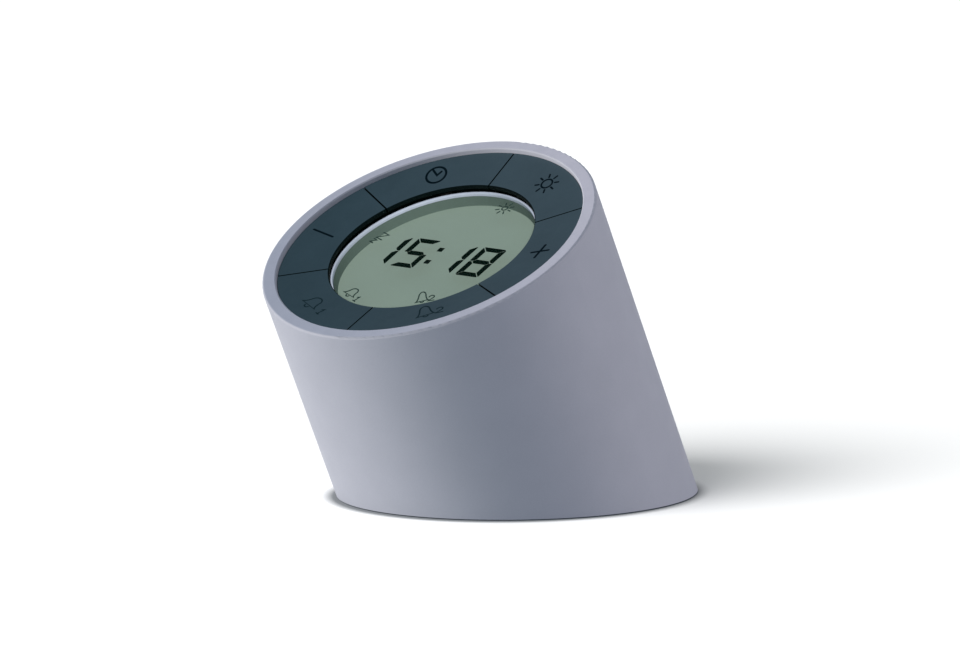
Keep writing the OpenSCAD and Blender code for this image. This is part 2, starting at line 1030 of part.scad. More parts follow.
// Plugs on the leads, one in each socket
module lead_plugs() {
    color("#FAFAF6")
        leaning() {
            for (side = [-1, 1])
                translate([side * charge_socket_x, charge_socket_y, 0])
                    block(5.8, 2.8, charge_top + 1, charge_top + plug_lift);
            translate([front_socket_x, front_socket_y, 0])
                block(5.8, 2.8, board_low - plug_lift, board_low - 1);
        }
}

// ---- The nodes ----

casing();
key_frame();
display_bezel();
display_window();
lcd_cell();
light_guide();
reflector_sheet();
lcd_holder();
zebra_strips();
backlight_leds();
display_board();
display_chips();
display_sockets();
switch_bodies();
board_screws();
frame_screws();
buzzer();
tilt_switch_can();
tilt_switch_header();
tilt_ball();
key(clock_angle);  // key_clock
key(sun_angle);  // key_sun
key(plus_angle);  // key_plus
key(bell_two_angle);  // key_bell_two
key(bell_one_angle);  // key_bell_one
key(minus_angle);  // key_minus
plunger(clock_angle);  // plunger_clock
plunger(sun_angle);  // plunger_sun
plunger(plus_angle);  // plunger_plus
plunger(bell_two_angle);  // plunger_bell_two
plunger(bell_one_angle);  // plunger_bell_one
plunger(minus_angle);  // plunger_minus
light_tray();
tray_screws();
led_board();
base_leds();
led_board_screws();
diffuser();
foot(-1, -1);  // foot_front_left
foot(1, -1);  // foot_front_right
foot(-1, 1);  // foot_rear_left
foot(1, 1);  // foot_rear_right
battery_cell();
cell_tabs();
cell_cradle();
cradle_screws();
charge_board();
charge_chips();
charge_sockets();
charge_board_screws();
usb_shell();
usb_tongue();
battery_leads();
display_leads();
lamp_leads();
lead_plugs();
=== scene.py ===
"""A bedside alarm clock: a leaning lilac-grey cylinder with six keys round a sunken display.

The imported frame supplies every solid. This script gives each of them its finish, draws the
signs on the keys and the segments in the display, and sets up a plain pale studio.
"""

import json
import math

import bmesh
import bpy
from mathutils import Matrix, Vector
from mathutils.bvhtree import BVHTree


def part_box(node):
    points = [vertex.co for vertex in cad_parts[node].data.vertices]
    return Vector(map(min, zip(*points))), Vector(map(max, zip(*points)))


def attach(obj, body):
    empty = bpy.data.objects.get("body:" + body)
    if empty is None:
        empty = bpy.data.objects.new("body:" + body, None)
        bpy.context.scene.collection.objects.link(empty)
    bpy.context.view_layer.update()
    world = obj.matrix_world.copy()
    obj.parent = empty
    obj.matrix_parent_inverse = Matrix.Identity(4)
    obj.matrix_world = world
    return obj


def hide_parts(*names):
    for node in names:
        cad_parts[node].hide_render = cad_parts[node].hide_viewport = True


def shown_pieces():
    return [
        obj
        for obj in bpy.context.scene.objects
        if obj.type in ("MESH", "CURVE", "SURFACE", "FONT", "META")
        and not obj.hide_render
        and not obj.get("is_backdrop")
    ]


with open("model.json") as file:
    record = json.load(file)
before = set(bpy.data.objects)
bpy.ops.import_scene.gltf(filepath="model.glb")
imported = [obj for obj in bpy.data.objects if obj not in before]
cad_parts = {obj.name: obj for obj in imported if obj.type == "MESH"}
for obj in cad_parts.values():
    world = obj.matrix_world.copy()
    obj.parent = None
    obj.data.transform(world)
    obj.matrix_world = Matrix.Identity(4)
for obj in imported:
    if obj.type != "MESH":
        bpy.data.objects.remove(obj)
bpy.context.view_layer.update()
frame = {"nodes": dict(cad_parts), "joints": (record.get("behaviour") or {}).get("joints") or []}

MM = 0.001

# ---- Places, all taken from the frame ----


def middle(node):
    """The middle of a CAD node's box."""
    low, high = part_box(node)
    return (low + high) / 2


def joint_axis(name):
    """The direction in which a joint moves."""
    joint = next(j for j in frame["joints"] if j["name"] == name)
    return Vector(joint["axis"]).normalized()


OUT = -joint_axis("clock_press")
RIGHT = Vector((1, 0, 0))
UP = OUT.cross(RIGHT)
WINDOW_DEPTH = 5.225  # from the rim's plane down to the window's middle, in millimetres
FACE = middle("display_window") + OUT * (WINDOW_DEPTH * MM)
GROUND = FACE - OUT * (FACE.z / OUT.z)


def face_point(x, y, height=0.0):
    """A point given in millimetres: right, up and out from the middle of the rim's plane."""
    return FACE + (RIGHT * x + UP * y + OUT * height) * MM


def link(name, data):
    """A new object in the scene."""
    made = bpy.data.objects.new(name, data)
    bpy.context.scene.collection.objects.link(made)
    return made


# ---- Camera ----

CAMERA_AZIMUTH = math.radians(36.66)
CAMERA_ELEVATION = math.radians(8.52)
CAMERA_ROLL = math.radians(0.38)
CAMERA_DISTANCE = 2.124
CAMERA_LENS = 303.6
CAMERA_REACH = 50
AIM_ASIDE = -0.00997
AIM_RAISED = 0.04265


def direction(azimuth, elevation):
    """A unit vector; both angles are in radians, and azimuth 0 points to -Y."""
    flat = math.cos(elevation)
    return Vector((math.sin(azimuth) * flat, -math.cos(azimuth) * flat, math.sin(elevation)))


def add_camera():
    """The camera at the picture's angle, a long way off."""
    back = direction(CAMERA_AZIMUTH, CAMERA_ELEVATION)
    level = Vector((math.cos(CAMERA_AZIMUTH), math.sin(CAMERA_AZIMUTH), 0))
    across = math.cos(CAMERA_ROLL) * level + math.sin(CAMERA_ROLL) * back.cross(level)
    place = GROUND + back * CAMERA_DISTANCE
    aim = GROUND + across * AIM_ASIDE + back.cross(across) * AIM_RAISED
    back = (place - aim).normalized()
    upward = back.cross(across).normalized()
    turn = Matrix((upward.cross(back), upward, back)).transposed()
    data = bpy.data.cameras.new("camera")
    data.lens = CAMERA_LENS
    data.clip_end = CAMERA_REACH
    camera = link("camera", data)
    camera.matrix_world = Matrix.Translation(place) @ turn.to_4x4()
    bpy.context.scene.camera = camera


# ---- Building materials from nodes ----


class Finish:
    """A material with a Principled shader and helpers for its grain, colour and wear."""

    def __init__(self, name, colour, roughness, metallic=0.0, specular=0.5, **sockets):
        self.material = bpy.data.materials.new(name)
        self.material.use_nodes = True
        self.tree = self.material.node_tree
        self.shader = self.tree.nodes["Principled BSDF"]
        self.colour = colour
        self.roughness = roughness
        self.put("Base Color", (*colour, 1))
        self.put("Roughness", roughness)
        self.put("Metallic", metallic)
        self.put("Specular IOR Level", specular)
        for socket, value in sockets.items():
            self.put(socket.replace("_", " "), value)
        self.place = self.node("ShaderNodeTexCoord").outputs["Object"]
        self.normal = None

    def put(self, socket, value):
        """Sets one of the shader's own values."""
        self.shader.inputs[socket].default_value = value

    def node(self, kind, **settings):
        """A new node with its properties set."""
        made = self.tree.nodes.new(kind)
        for name, value in settings.items():
            setattr(made, name, value)
        return made

    def join(self, output, socket):
        """Links an output to a socket."""
        self.tree.links.new(output, socket)

    def stretched(self, x, y, z):
        """The place, scaled apart along each axis, for a grain with a direction."""
        mapping = self.node("ShaderNodeMapping")
        mapping.inputs["Scale"].default_value = (x, y, z)
        self.join(self.place, mapping.inputs["Vector"])
        return mapping.outputs["Vector"]

    def noise(self, size_mm, detail=2.0, place=None):
        """Noise from 0 to 1 whose grain is about size_mm across."""
        made = self.node("ShaderNodeTexNoise")
        made.inputs["Scale"].default_value = 1 / (size_mm * MM)
        made.inputs["Detail"].default_value = detail
        self.join(place or self.place, made.inputs["Vector"])
        return made.outputs["Fac"]

    def spread(self, value, low, high, start=0.3, end=0.7):
        """Maps start..end of a value to low..high."""
        made = self.node("ShaderNodeMapRange")
        made.inputs["From Min"].default_value = start
        made.inputs["From Max"].default_value = end
        made.inputs["To Min"].default_value = low
        made.inputs["To Max"].default_value = high
        self.join(value, made.inputs["Value"])
        return made.outputs["Result"]

    def maths(self, operation, first, second):
        """A Math node on two outputs."""
        made = self.node("ShaderNodeMath", operation=operation)
        self.join(first, made.inputs[0])
        self.join(second, made.inputs[1])
        return made.outputs["Value"]

    def along(self, axis, origin):
        """How far the surface lies from origin along axis, in millimetres."""
        offset = self.node("ShaderNodeVectorMath", operation="SUBTRACT")
        offset.inputs[1].default_value = origin
        self.join(self.place, offset.inputs[0])
        dot = self.node("ShaderNodeVectorMath", operation="DOT_PRODUCT")
        dot.inputs[1].default_value = axis / MM
        self.join(offset.outputs["Vector"], dot.inputs[0])
        return dot.outputs["Value"]

    def facing(self, axis):
        """The cosine of the angle between the surface's own normal and axis."""
        dot = self.node("ShaderNodeVectorMath", operation="DOT_PRODUCT")
        dot.inputs[1].default_value = axis
        self.join(self.node("ShaderNodeNewGeometry").outputs["Normal"], dot.inputs[0])
        return dot.outputs["Value"]

    def blend(self, share, first, second):
        """A colour between first and second by a share from 0 to 1."""
        made = self.node("ShaderNodeMix", data_type="RGBA")
        self.join(share, made.inputs[0])
        for socket, value in zip((made.inputs[6], made.inputs[7]), (first, second)):
            if isinstance(value, tuple):
                socket.default_value = (*value, 1)
            else:
                self.join(value, socket)
        return made.outputs[2]

    def times(self, first, second):
        """Two colour outputs multiplied."""
        made = self.node("ShaderNodeMix", data_type="RGBA", blend_type="MULTIPLY")
        made.inputs[0].default_value = 1.0
        self.join(first, made.inputs[6])
        self.join(second, made.inputs[7])
        return made.outputs[2]

    def mottle(self, amount, size_mm):
        """Colour that drifts lighter and darker by amount over patches of size_mm."""
        darker = tuple(c * (1 - amount) for c in self.colour)
        lighter = tuple(min(1.0, c * (1 + amount)) for c in self.colour)
        share = self.spread(self.noise(size_mm, 3.0), 0, 1)
        mixed = self.blend(share, darker, lighter)
        self.paint(mixed)
        return mixed

    def paint(self, colour):
        """Takes a colour output as the base colour."""
        self.join(colour, self.shader.inputs["Base Color"])

    def uneven(self, amount, size_mm, place=None):
        """Roughness that varies by amount either way."""
        low, high = self.roughness - amount, self.roughness + amount
        rough = self.spread(self.noise(size_mm, 2.0, place), low, high)
        self.join(rough, self.shader.inputs["Roughness"])

    def bump(self, height, depth_mm):
        """Raises the surface by a height output, depth_mm from its lowest to its highest."""
        made = self.node("ShaderNodeBump")
        made.inputs["Strength"].default_value = 1.0
        made.inputs["Distance"].default_value = depth_mm * MM
        self.join(height, made.inputs["Height"])
        if self.normal is not None:
            self.join(self.normal, made.inputs["Normal"])
        self.normal = made.outputs["Normal"]
        self.join(self.normal, self.shader.inputs["Normal"])


# ---- Finishes ----


def across_face(angle):
    """A direction in the rim's plane, anticlockwise from RIGHT by degrees."""
    return RIGHT * math.cos(math.radians(angle)) + UP * math.sin(math.radians(angle))


# Pairs are the places, in millimetres from the rim's middle, where a change starts and ends
SHELL_LILAC = (0.43, 0.45, 0.515)
# Paler patches near the rim's plane: partly wear, partly a painted highlight along the rim's
# edges
WEAR_AND_HIGHLIGHT_LILAC = (0.66, 0.67, 0.73)
WEAR_AND_HIGHLIGHT_BAND = (-0.85, -0.05)
# Painted light and shade across the casing's rim face: paler towards its upper right, darker
# towards its lower left
RIM_PAINTED_LIGHT_SIDE = across_face(45)
RIM_PAINTED_LIGHT_SPAN = (-42, 42)
RIM_PAINTED_SHADE = (0.84, 0.87, 0.93)
RIM_PAINTED_LIGHT = (1.18, 1.13, 1.15)
KEY_SLATE = (0.044, 0.073, 0.088)
# Painted light and shade across the key caps: paler towards the right, darker towards the left
KEY_PAINTED_LIGHT_SIDE = across_face(20)
KEY_PAINTED_LIGHT_SPAN = (-30, 18)
KEY_PAINTED_SHADE = (0.6, 0.66, 0.69)
KEY_PAINTED_LIGHT = (0.94, 0.88, 0.89)
# Painted shade: the keys' side walls are coloured near black
KEY_WALL_PAINTED_SHADE = (0.0005, 0.003, 0.003)
# Painted shade: the display well's wall is coloured dark green
WELL_WALL_PAINTED_SHADE = (0.125, 0.17, 0.143)
COLLAR_LILAC = (0.58, 0.62, 0.72)
BARE_BLACK = (0.0008, 0.0035, 0.003)
PAINT_END = (-5.8, -5.6)
LCD_LIT = (0.29, 0.364, 0.295)


def lilac_shell():
    """Soft-touch paint: a fine matt grain, a little paler on worn edges, partly as a painted
    highlight, and painted light and shade across the rim's face, paler towards its upper right.
    """
    skin = Finish("lilac_shell", SHELL_LILAC, 0.62, specular=0.3)
    drift = skin.mottle(0.02, 14)
    speckle = skin.spread(skin.noise(0.35, 1.0), 0.0, 0.06)
    grained = skin.blend(speckle, drift, (0.72, 0.73, 0.78))
    height = skin.along(OUT, FACE)
    # Paler noisy patches near the rim's plane, part wear and part painted highlight
    wear_and_highlight_edge = skin.spread(height, 0, 1, *WEAR_AND_HIGHLIGHT_BAND)
    scuffs_and_highlight = skin.maths("MULTIPLY", wear_and_highlight_edge, skin.spread(skin.noise(3, 4), 0.02, 0.12))
    worn_and_highlighted = skin.blend(scuffs_and_highlight, grained, WEAR_AND_HIGHLIGHT_LILAC)
    # The rim's face gets painted light and shade, paler towards its upper right
    rim = skin.spread(skin.facing(OUT), 0, 1, 0.9, 0.98)
    side = skin.spread(skin.along(RIM_PAINTED_LIGHT_SIDE, FACE), 0, 1, *RIM_PAINTED_LIGHT_SPAN)
    rim_painted_light = skin.blend(side, RIM_PAINTED_SHADE, RIM_PAINTED_LIGHT)
    skin.paint(skin.blend(rim, worn_and_highlighted, skin.times(worn_and_highlighted, rim_painted_light)))
    skin.uneven(0.05, 6)
    skin.bump(skin.noise(0.28, 2.0), 0.012)
    skin.bump(skin.noise(9, 1.0), 0.02)
    return skin.material


def key_slate():
    """Matt slate key caps with painted light and shade across them, paler towards the right;
    their side walls are painted almost black as painted shade.
    """
    cap = Finish("key_slate", KEY_SLATE, 0.6, specular=0.12)
    drift = cap.mottle(0.05, 9)
    # Painted light and shade across the caps, paler towards the right
    side = cap.spread(cap.along(KEY_PAINTED_LIGHT_SIDE, FACE), 0, 1, *KEY_PAINTED_LIGHT_SPAN)
    painted_light_slate = cap.times(drift, cap.blend(side, KEY_PAINTED_SHADE, KEY_PAINTED_LIGHT))
    # Faces that don't face out, the side walls, are painted near black as painted shade
    top = cap.spread(cap.facing(OUT), 0, 1, 0.85, 0.95)
    dust = cap.spread(cap.noise(0.25, 1.0), 0.0, 0.03)
    cap.paint(cap.blend(top, KEY_WALL_PAINTED_SHADE, cap.blend(dust, painted_light_slate, (0.2, 0.24, 0.26))))
    cap.uneven(0.06, 3)
    cap.bump(cap.noise(0.22, 2.0), 0.008)
    return cap.material


def plain_moulded(name, colour, roughness=0.5, grain_mm=0.3, **sockets):
    """Moulded plastic with a light spark-eroded grain and slow colour drift."""
    part = Finish(name, colour, roughness, **sockets)
    part.mottle(0.04, 6)
    part.uneven(0.06, 2.5)
    part.bump(part.noise(grain_mm, 2.0), 0.008)
    return part.material


def black_plastic():
    return plain_moulded("black_plastic", BARE_BLACK, 0.55, specular=0.05)


def collar_lilac():
    """Black plastic, with satin lilac paint on the part that shows above the window."""
    ring = Finish("collar_lilac", COLLAR_LILAC, 0.5, specular=0.2)
    paint = ring.mottle(0.04, 6)
    painted = ring.spread(ring.along(OUT, FACE), 0, 1, *PAINT_END)
    ring.paint(ring.blend(painted, BARE_BLACK, paint))
    ring.uneven(0.06, 2.5)
    ring.bump(ring.noise(0.2, 2.0), 0.008)
    return ring.material


def white_plastic():
    return plain_moulded("white_plastic", (0.78, 0.78, 0.75), 0.5)


def pale_plastic():
    return plain_moulded("pale_plastic", (0.66, 0.66, 0.61), 0.45)


def plunger_cream():
    """The switches' plungers, painted near black as painted shade, so that none shows pale in the
    gap round the display.
    """
    # Painted shade: near black in place of the plungers' cream
    return plain_moulded("plunger_cream", (0.012, 0.013, 0.012), 0.5, specular=0.1)


def chip_black():
    return plain_moulded("chip_black", (0.011, 0.012, 0.013), 0.62, 0.12)


def clear_window():
    """A flat clear window that lets the display through."""
    pane = Finish("clear_window", (0.02, 0.03, 0.028), 0.12, Alpha=0.05)
    pane.mottle(0.1, 9)
    pane.uneven(0.05, 4)
    pane.bump(pane.noise(6, 1.0), 0.002)
    return pane.material


def lcd_green():
    """The display's reflector, grey-green with a fine sparkle, and the wall round it painted dark
    as painted shade.
    """
    glass = Finish("lcd_green", LCD_LIT, 0.5, specular=0.1)
    drift = glass.mottle(0.02, 12)
    sparkle = glass.spread(glass.noise(0.18, 1.0), 0.0, 0.08, 0.45, 0.75)
    lit = glass.blend(sparkle, drift, (0.42, 0.485, 0.4))
    # Faces that don't face out, the well's wall, are painted dark green as painted shade
    floor = glass.spread(glass.facing(OUT), 0, 1, 0.85, 0.95)
    glass.paint(glass.blend(floor, WELL_WALL_PAINTED_SHADE, lit))
    glass.uneven(0.04, 2)
    glass.bump(glass.noise(0.15, 1.0), 0.002)
    return glass.material


def lcd_ink():
    """A driven segment: the crystal turned dark."""
    ink = Finish("lcd_ink", (0.0, 0.005, 0.002), 0.6, specular=0.0)
    ink.mottle(0.15, 1.5)
    ink.uneven(0.05, 1)
    ink.bump(ink.noise(0.2, 1.0), 0.002)
    return ink.material


def lcd_fine_ink():
    """The thin outline signs, which are drawn too fine to turn fully dark."""
    ink = Finish("lcd_fine_ink", (0.03, 0.055, 0.045), 0.6, specular=0.0)
    ink.mottle(0.2, 0.8)
    ink.uneven(0.05, 1)
    ink.bump(ink.noise(0.2, 1.0), 0.002)
    return ink.material


def print_ink(name, colour):
    """The dark print on the keys."""
    ink = Finish(name, colour, 0.6, specular=0.05)
    ink.mottle(0.2, 0.6)
    ink.uneven(0.08, 0.8)
    ink.bump(ink.noise(0.12, 2.0), 0.004)
    return ink.material


def key_ink():
    return print_ink("key_ink", (0.0, 0.004, 0.007))


def key_pale_ink():
    """The bells and their numerals, which are printed thinner."""
    return print_ink("key_pale_ink", (0.006, 0.018, 0.023))


def clear_acrylic():
    """The display's light guide, polished on every side."""
    guide = Finish("clear_acrylic", (0.93, 0.95, 0.94), 0.06, Transmission_Weight=0.9)
    guide.put("IOR", 1.49)
    guide.uneven(0.03, 2)
    guide.bump(guide.noise(1.2, 2.0), 0.003)
    return guide.material


def silicone():
    """Contact strips: dark conducting layers between pale rubber ones."""
    pale, dark = (0.6, 0.57, 0.5), (0.03, 0.03, 0.032)
    strip = Finish("silicone", pale, 0.55)
    bands = strip.node("ShaderNodeTexWave", wave_type="BANDS", bands_direction="X")
    bands.inputs["Scale"].default_value = 1 / (1.3 * MM)
    bands.inputs["Distortion"].default_value = 0.4
    strip.join(strip.place, bands.inputs["Vector"])
    layers = strip.spread(bands.outputs["Fac"], 0, 1, 0.45, 0.55)
    strip.paint(strip.blend(layers, pale, dark))
    strip.uneven(0.06, 0.6)
    strip.bump(strip.noise(0.2, 2.0), 0.01)
    return strip.material


def cast_resin(name, colour):
    """A small lamp's lens of cast resin."""
    lens = Finish(name, colour, 0.25, Subsurface_Weight=0.2)
    lens.put("Subsurface Radius", (0.0006, 0.0005, 0.0003))
    lens.mottle(0.06, 0.8)
    lens.uneven(0.08, 0.5)
    lens.bump(lens.noise(0.3, 1.0), 0.004)
    return lens.material


def led_white():
    return cast_resin("led_white", (0.88, 0.85, 0.7))


def led_warm():
    return cast_resin("led_warm", (0.85, 0.6, 0.16))


def circuit_board(name, mask, copper):
    """Solder mask with tracks that show through it, over the weave of the laminate."""
    board = Finish(name, mask, 0.32, Coat_Weight=0.3)
    tracks = None
    for way in ("X", "Y"):
        bands = board.node("ShaderNodeTexWave", wave_type="BANDS", bands_direction=way)
        bands.inputs["Scale"].default_value = 1 / (7 * MM)
        bands.inputs["Distortion"].default_value = 0.0
        board.join(board.place, bands.inputs["Vector"])
        lines = board.spread(bands.outputs["Fac"], 0, 1, 0.9, 0.94)
        patch = board.spread(board.noise(7, 0.0), 0, 1, 0.5, 0.52)
        shown = board.maths("MULTIPLY", lines, patch)
        tracks = shown if tracks is None else board.maths("MAXIMUM", tracks, shown)
    drift = board.mottle(0.06, 5)
    board.paint(board.blend(tracks, drift, copper))
    board.uneven(0.05, 3)
    board.bump(tracks, 0.03)
    weave = board.noise(0.5, 1.0, board.stretched(1, 3, 1))
    board.bump(weave, 0.006)
    return board.material


def board_green():
    return circuit_board("board_green", (0.012, 0.085, 0.04), (0.035, 0.17, 0.075))


def board_white():
    return circuit_board("board_white", (0.8, 0.8, 0.77), (0.7, 0.69, 0.64))


def metal(name, colour, roughness, grain, size_mm=0.5):
    """Plated metal with fine drawn lines and a few dull patches."""
    part = Finish(name, colour, roughness, metallic=1.0)
    lines = part.stretched(*grain)
    part.mottle(0.08, 3)
    part.uneven(0.1, size_mm, lines)
    part.bump(part.noise(size_mm, 3.0, lines), 0.004)
    return part.material


def screw_steel():
    return metal("screw_steel", (0.56, 0.57, 0.58), 0.32, (1, 1, 1))


def tin_can():
    return metal("tin_can", (0.64, 0.65, 0.66), 0.28, (0.2, 1, 1))


def gold_ball():
    return metal("gold_ball", (0.8, 0.58, 0.24), 0.16, (1, 1, 1), 0.2)


def nickel():
    return metal("nickel", (0.62, 0.6, 0.55), 0.25, (1, 0.15, 1), 0.3)


def opal_plastic():
    """The lamp's opal plate, finely frosted and a little translucent."""
    opal = Finish("opal_plastic", (0.8, 0.81, 0.79), 0.5, Subsurface_Weight=0.3)
    opal.put("Subsurface Radius", (0.002, 0.002, 0.002))
    opal.mottle(0.02, 10)
    opal.uneven(0.05, 2)
    opal.bump(opal.noise(0.15, 2.0), 0.006)
    return opal.material


def cell_wrap():
    """Shrink film on the cell, with the faint creases that it shrinks into."""
    film = Finish("cell_wrap", (0.02, 0.13, 0.38), 0.28, Coat_Weight=0.2)
    film.mottle(0.08, 8)
    creases = film.noise(2.2, 2.0, film.stretched(0.25, 1, 1))
    film.uneven(0.06, 4)
    film.bump(creases, 0.02)
    return film.material


def lead(name, colour):
    """Soft insulation on a lead."""
    sleeve = Finish(name, colour, 0.48)
    sleeve.mottle(0.1, 3)
    sleeve.uneven(0.06, 1.5)
    sleeve.bump(sleeve.noise(0.3, 2.0), 0.008)
    return sleeve.material


def lead_red():
    return lead("lead_red", (0.35, 0.015, 0.01))


def lead_grey():
    return lead("lead_grey", (0.033, 0.033, 0.036))


def lead_white():
    return lead("lead_white", (0.7, 0.7, 0.66))


def foot_silicone():
    """Soft feet that have picked up a little dust."""
    foot = Finish("foot_silicone", (0.6, 0.62, 0.64), 0.6, Subsurface_Weight=0.15)
    foot.put("Subsurface Radius", (0.001, 0.001, 0.001))
    foot.mottle(0.08, 2)
    foot.uneven(0.08, 1)
    foot.bump(foot.noise(0.3, 2.0), 0.012)
    return foot.material


FINISHES = (
    lilac_shell, black_plastic, collar_lilac, clear_window, lcd_green, clear_acrylic,
    white_plastic, pale_plastic, silicone, led_white, led_warm, board_green, board_white,
    chip_black, screw_steel, tin_can, gold_ball, opal_plastic, cell_wrap, nickel, lead_red,
    lead_grey, lead_white, key_slate, plunger_cream, foot_silicone,
)


def dress_nodes():
    """Puts each slot's finish on the CAD nodes, by the names that the frame's slots carry."""
    made = {build.__name__: build() for build in FINISHES}
    for node in frame["nodes"].values():
        for place in node.material_slots:
            place.material = made[place.material.name]
    return made


# ---- Signs: thin ink shapes laid on a CAD surface ----

INK_RISE = 0.03
INK_SINK = 0.05
ABOVE_FACE = 20  # where the rays that look for a key's skin start


class Flat:
    """A plane parallel to the rim, at a height in millimetres."""

    def __init__(self, height):
        self.height = height

    def under(self, x, y, rise):
        """The point of the plane under a face point, moved out by rise millimetres."""
        return face_point(x, y, self.height + rise)


class Skin:
    """The outside of a CAD node, as it is seen from in front of the face."""

    def __init__(self, node):
        mesh = frame["nodes"][node].data
        corners = [v.co for v in mesh.vertices]
        self.tree = BVHTree.FromPolygons(corners, [tuple(p.vertices) for p in mesh.polygons])

    def under(self, x, y, rise):
        """The point on the skin under a face point, moved out by rise millimetres."""
        hit = self.tree.ray_cast(face_point(x, y, ABOVE_FACE), -OUT)[0]
        return hit + OUT * (rise * MM)


def turned(x, y, angle):
    """A point turned about the origin, anticlockwise, by degrees."""
    c = math.cos(math.radians(angle))
    s = math.sin(math.radians(angle))
    return x * c - y * s, x * s + y * c


PULL = turned(1, 0, 118)  # the direction in which some of the keys' signs are stretched


def arc(cx, cy, radius, start, end, steps):
    """Points along an arc, by degrees."""
    turn = (end - start) / steps
    places = [math.radians(start + turn * i) for i in range(steps + 1)]
    return [(cx + radius * math.cos(a), cy + radius * math.sin(a)) for a in places]


def offsets(points, closed):
    """For each point, the sideways vector that keeps a line's width round its corners."""
    count = len(points)
    made = []
    for i, (x, y) in enumerate(points):
        before = points[i - 1] if closed or i else None
        after = points[(i + 1) % count] if closed or i < count - 1 else None
        sides = []
        for a, b in ((before, (x, y)), ((x, y), after)):
            if a is not None and b is not None:
                long = math.dist(a, b)
                sides.append(Vector((-(b[1] - a[1]) / long, (b[0] - a[0]) / long)))
        mean = sum(sides, Vector((0, 0))).normalized()
        made.append(mean / max(0.5, mean.dot(sides[0])))
    return made


class Sign:
    """A piece of ink on a Skin or a Flat, drawn with lines and filled outlines.

    Each mark is given in millimetres about the sign's own origin, which at() sets.
    """

    def __init__(self, name, skin, body, finish, width=0.45):
        self.name = name
        self.skin = skin
        self.body = body
        self.finish = finish
        self.width = width
        self.mesh = bmesh.new()
        self.at(0, 0)

    def at(self, x, y, angle=0.0, scale=1.0, pull=1.0):
        """Sets where the next marks are drawn, and how far they are stretched along PULL."""
        self.origin = (x, y)
        self.angle = angle
        self.scale = scale
        self.pull = pull

    def vertex(self, x, y, rise):
        """A corner of a mark, on the skin."""
        px, py = turned(x * self.scale, y * self.scale, self.angle)
        more = (px * PULL[0] + py * PULL[1]) * (self.pull - 1)
        px += more * PULL[0]
        py += more * PULL[1]
        return self.mesh.verts.new(
            self.skin.under(self.origin[0] + px, self.origin[1] + py, rise)
        )

    def prism(self, outline):
        """A filled outline, anticlockwise, as a thin solid."""
        top = [self.vertex(x, y, INK_RISE) for x, y in outline]
        low = [self.vertex(x, y, -INK_SINK) for x, y in outline]
        self.mesh.faces.new(top)
        self.mesh.faces.new(low[::-1])
        for i in range(len(outline)):
            j = (i + 1) % len(outline)
            self.mesh.faces.new((top[j], top[i], low[i], low[j]))

    def line(self, points, closed=False):
        """A line of even width with round ends, as a thin solid."""
        half = self.width / 2 / self.scale
        spine = [Vector(p) for p in points]
        sideways = [o * half for o in offsets(points, closed)]
        if not closed:
            spine, sideways = self.round_ends(spine, sideways, half)
        rings = []
        for p, o in zip(spine, sideways):
            left, right = p + o, p - o
            rings.append((
                self.vertex(*left, INK_RISE),
                self.vertex(*left, -INK_SINK),
                self.vertex(*right, -INK_SINK),
                self.vertex(*right, INK_RISE),
            ))
        count = len(rings)
        for i in range(count if closed else count - 1):
            a, b = rings[i], rings[(i + 1) % count]
            for k in range(4):
                m = (k + 1) % 4
                self.mesh.faces.new((a[k], a[m], b[m], b[k]))
        if not closed:
            self.mesh.faces.new(rings[0][::-1])
            self.mesh.faces.new(rings[-1])

    @staticmethod
    def round_ends(spine, sideways, half):
        """Adds narrowing steps before the first point and after the last."""
        steps = (30, 60, 80)
        first = (spine[0] - spine[1]).normalized() * half
        last = (spine[-1] - spine[-2]).normalized() * half
        turns = [(math.sin(math.radians(a)), math.cos(math.radians(a))) for a in steps]
        head = [(spine[0] + first * s, sideways[0] * c) for s, c in reversed(turns)]
        tail = [(spine[-1] + last * s, sideways[-1] * c) for s, c in turns]
        body = head + list(zip(spine, sideways)) + tail
        return [p for p, _ in body], [o for _, o in body]

    def done(self):
        """Makes the piece and lets it ride on its body."""
        bmesh.ops.recalc_face_normals(self.mesh, faces=self.mesh.faces)
        data = bpy.data.meshes.new(self.name)
        self.mesh.to_mesh(data)
        self.mesh.free()
        data.materials.append(self.finish)
        piece = link(self.name, data)
        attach(piece, self.body)
        return piece


# ---- The signs' shapes ----


def draw_clock(sign):
    """A dial with two hands."""
    sign.line(arc(0, 0, 2.72, 0, 360, 48)[:-1], closed=True)
    sign.line([(-1.75, 1.25), (0.3, -0.05), (0.8, 1.4)])


def draw_sun(sign, disc=1.63, ray_start=2.4, ray_end=3.5):
    """A small disc's outline with eight rays."""
    sign.line(arc(0, 0, disc, 0, 360, 32)[:-1], closed=True)
    for i in range(8):
        angle = math.radians(45 * i + 17)
        c, s = math.cos(angle), math.sin(angle)
        sign.line([(ray_start * c, ray_start * s), (ray_end * c, ray_end * s)])


def draw_bell(sign, half_width, height):
    """A bell's outline: dome, flared mouth and clapper. The mouth's middle is at the origin."""
    w, h = half_width, height
    left = [(-w, 0), (-0.8 * w, 0.1 * h), (-0.66 * w, 0.3 * h), (-0.58 * w, 0.5 * h)]
    dome = [(x * 0.56 * w, y * 0.42 * h + 0.58 * h) for x, y in arc(0, 0, 1, 168, 12, 12)]
    right = [(-x, y) for x, y in reversed(left)]
    sign.line(left + dome + right, closed=True)
    sign.line(arc(0, -0.04 * h, 0.27 * w, 200, 340, 8))


def draw_one(sign):
    """The numeral 1 with a flag and a foot."""
    sign.line([(-0.65, 0.75), (0.05, 1.3), (0.05, -1.3)])
    sign.line([(-0.6, -1.3), (0.7, -1.3)])


def draw_two(sign):
    """The numeral 2."""
    bowl = arc(0, 0.55, 0.8, 165, -30, 12)
    sign.line(bowl + [(-0.85, -1.3), (0.9, -1.3)])


